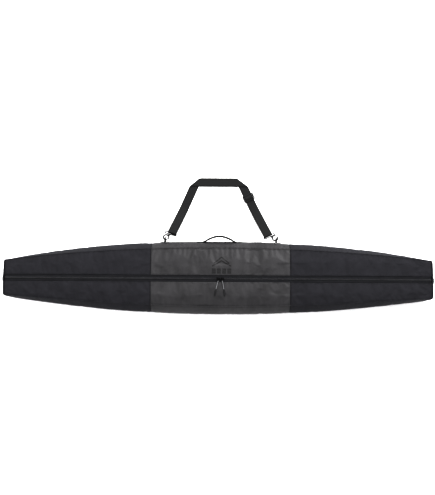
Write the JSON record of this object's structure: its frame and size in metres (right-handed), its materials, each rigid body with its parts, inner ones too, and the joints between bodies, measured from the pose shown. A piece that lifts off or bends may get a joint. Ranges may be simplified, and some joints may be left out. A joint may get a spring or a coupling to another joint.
{
  "type": "ski bag",
  "caption": "Long padded ski bag with a full-length front zip, folding front flaps, a carry handle, end grab loops and a clip-on shoulder strap with an adjuster.",
  "frame": {"origin": "centre of the back panel's outer face, half way along the bag", "axes": "+X along the bag, +Y to the side with the carry handle and shoulder strap, +Z out of the zipped front"},
  "size_m": [1.9506, 0.6301, 0.1496],
  "materials": {
    "centre_fabric": "coated tarpaulin, soft sheen",
    "end_fabric": "matt woven polyester",
    "webbing": "ribbed woven webbing",
    "zip_tape": "matt woven tape",
    "zip_coil": "moulded nylon coil",
    "black_metal": "satin black lacquer",
    "black_plastic": "fine moulded texture",
    "pull_cord": "braided cord"
  },
  "bodies": {
    "bag": {"back_panel": "end_fabric", "upper_gusset_left": "end_fabric", "upper_yoke_left": "end_fabric", "lower_gusset_left": "end_fabric", "lower_yoke_left": "end_fabric", "upper_gusset_centre": "centre_fabric", "upper_yoke_centre": "centre_fabric", "lower_gusset_centre": "centre_fabric", "lower_yoke_centre": "centre_fabric", "upper_gusset_right": "end_fabric", "upper_yoke_right": "end_fabric", "lower_gusset_right": "end_fabric", "lower_yoke_right": "end_fabric", "left_end_panel": "end_fabric", "right_end_panel": "end_fabric", "left_ring_tab": "webbing", "left_handle_foot": "webbing", "left_grab_loop": "webbing", "left_tie_long_half": "webbing", "left_tie_short_half": "webbing", "left_buckle_socket": "black_plastic", "right_ring_tab": "webbing", "right_handle_foot": "webbing", "right_grab_loop": "webbing", "right_tie_long_half": "webbing", "right_tie_short_half": "webbing", "right_buckle_socket": "black_plastic", "carry_handle": "webbing"},
    "upper_flap": {"upper_flap_left": "end_fabric", "upper_flap_centre": "centre_fabric", "upper_flap_right": "end_fabric", "upper_zip_tape": "zip_tape", "upper_zip_coil": "zip_coil"},
    "lower_flap": {"lower_flap_left": "end_fabric", "lower_flap_centre": "centre_fabric", "lower_flap_right": "end_fabric", "lower_zip_tape": "zip_tape", "lower_zip_coil": "zip_coil"},
    "left_slider": {"left_slider": "black_metal"},
    "right_slider": {"right_slider": "black_metal"},
    "left_pull": {"left_pull_tab": "black_metal", "left_pull_cord": "pull_cord", "left_pull_tip": "black_plastic"},
    "right_pull": {"right_pull_tab": "black_metal", "right_pull_cord": "pull_cord", "right_pull_tip": "black_plastic"},
    "left_d_ring": {"left_d_ring": "black_metal"},
    "right_d_ring": {"right_d_ring": "black_metal"},
    "shoulder_strap": {"strap_left_leg": "webbing", "strap_right_leg": "webbing", "strap_top_run": "webbing", "left_strap_bar": "black_metal", "right_strap_bar": "black_metal"},
    "left_hook": {"left_snap_hook": "black_metal"},
    "right_hook": {"right_snap_hook": "black_metal"},
    "left_gate": {"left_hook_gate": "black_metal"},
    "right_gate": {"right_hook_gate": "black_metal"},
    "tri_glide": {"tri_glide": "black_plastic"},
    "left_plug": {"left_buckle_plug": "black_plastic"},
    "right_plug": {"right_buckle_plug": "black_plastic"}
  },
  "joints": [
    {"name": "front_opening", "type": "hinge", "parent": "bag", "child": "upper_flap", "pos_m": [0, 0.067, 0.1365], "axis": [-1, 0, 0], "range_deg": [0, 100]},
    {"name": "lower_flap_fold", "type": "hinge", "parent": "bag", "child": "lower_flap", "pos_m": [0, -0.067, 0.1365], "axis": [1, 0, 0], "range_deg": [0, 100]},
    {"name": "left_slider_travel", "type": "slide", "parent": "upper_flap", "child": "left_slider", "axis": [-1, 0, 0], "range_m": [0, 0.935]},
    {"name": "right_slider_travel", "type": "slide", "parent": "upper_flap", "child": "right_slider", "axis": [1, 0, 0], "range_m": [0, 0.915]},
    {"name": "left_pull_flip", "type": "hinge", "parent": "left_slider", "child": "left_pull", "pos_m": [0.0005, 0, 0.1468], "axis": [-1, 0, 0], "range_deg": [0, 125]},
    {"name": "right_pull_flip", "type": "hinge", "parent": "right_slider", "child": "right_pull", "pos_m": [0.018, 0, 0.1468], "axis": [-1, 0, 0], "range_deg": [0, 125]},
    {"name": "strap_lift", "type": "hinge", "parent": "bag", "child": "shoulder_strap", "pos_m": [0, 0.1715, 0.07], "axis": [1, 0, 0], "range_deg": [0, 45]},
    {"name": "left_d_ring_turn", "type": "hinge", "parent": "bag", "child": "left_d_ring", "pos_m": [-0.2425, 0.1715, 0.07], "axis": [0, 0, 1], "range_deg": [-3, 3]},
    {"name": "right_d_ring_turn", "type": "hinge", "parent": "bag", "child": "right_d_ring", "pos_m": [0.2625, 0.1715, 0.07], "axis": [0, 0, 1], "range_deg": [-3, 3]},
    {"name": "left_hook_swivel", "type": "hinge", "parent": "shoulder_strap", "child": "left_hook", "pos_m": [-0.2391, 0.19174, 0.06458], "axis": [0.7547, 0.6337, -0.1698], "range_deg": [-8, 8]},
    {"name": "left_gate_press", "type": "hinge", "parent": "left_hook", "child": "left_gate", "pos_m": [-0.22763, 0.19513, 0.06367], "axis": [0, -0.2588, -0.9659], "range_deg": [0, 18], "stiffness_Nm_per_rad": 0.03, "springref_deg": -5.73},
    {"name": "right_hook_swivel", "type": "hinge", "parent": "shoulder_strap", "child": "right_hook", "pos_m": [0.25827, 0.19037, 0.06494], "axis": [-0.9397, 0.3304, -0.0885], "range_deg": [-8, 8]},
    {"name": "right_gate_press", "type": "hinge", "parent": "right_hook", "child": "right_gate", "pos_m": [0.24964, 0.19842, 0.06278], "axis": [0, -0.2588, -0.9659], "range_deg": [0, 18], "stiffness_Nm_per_rad": 0.03, "springref_deg": -5.73},
    {"name": "tri_glide_adjust", "type": "slide", "parent": "shoulder_strap", "child": "tri_glide", "axis": [0.43, -0.9028, 0], "range_m": [-0.03, 0.009]},
    {"name": "left_buckle_release", "type": "slide", "parent": "bag", "child": "left_plug", "axis": [0, 1, 0], "range_m": [0, 0.03]},
    {"name": "right_buckle_release", "type": "slide", "parent": "bag", "child": "right_plug", "axis": [0, 1, 0], "range_m": [0, 0.03]}
  ],
  "couplings": [
    {"joint": "lower_flap_fold", "follows": "front_opening", "ratio": 1},
    {"joint": "left_slider_travel", "follows": "front_opening", "m_per_rad": 0.5357},
    {"joint": "right_slider_travel", "follows": "front_opening", "m_per_rad": 0.5242}
  ]
}
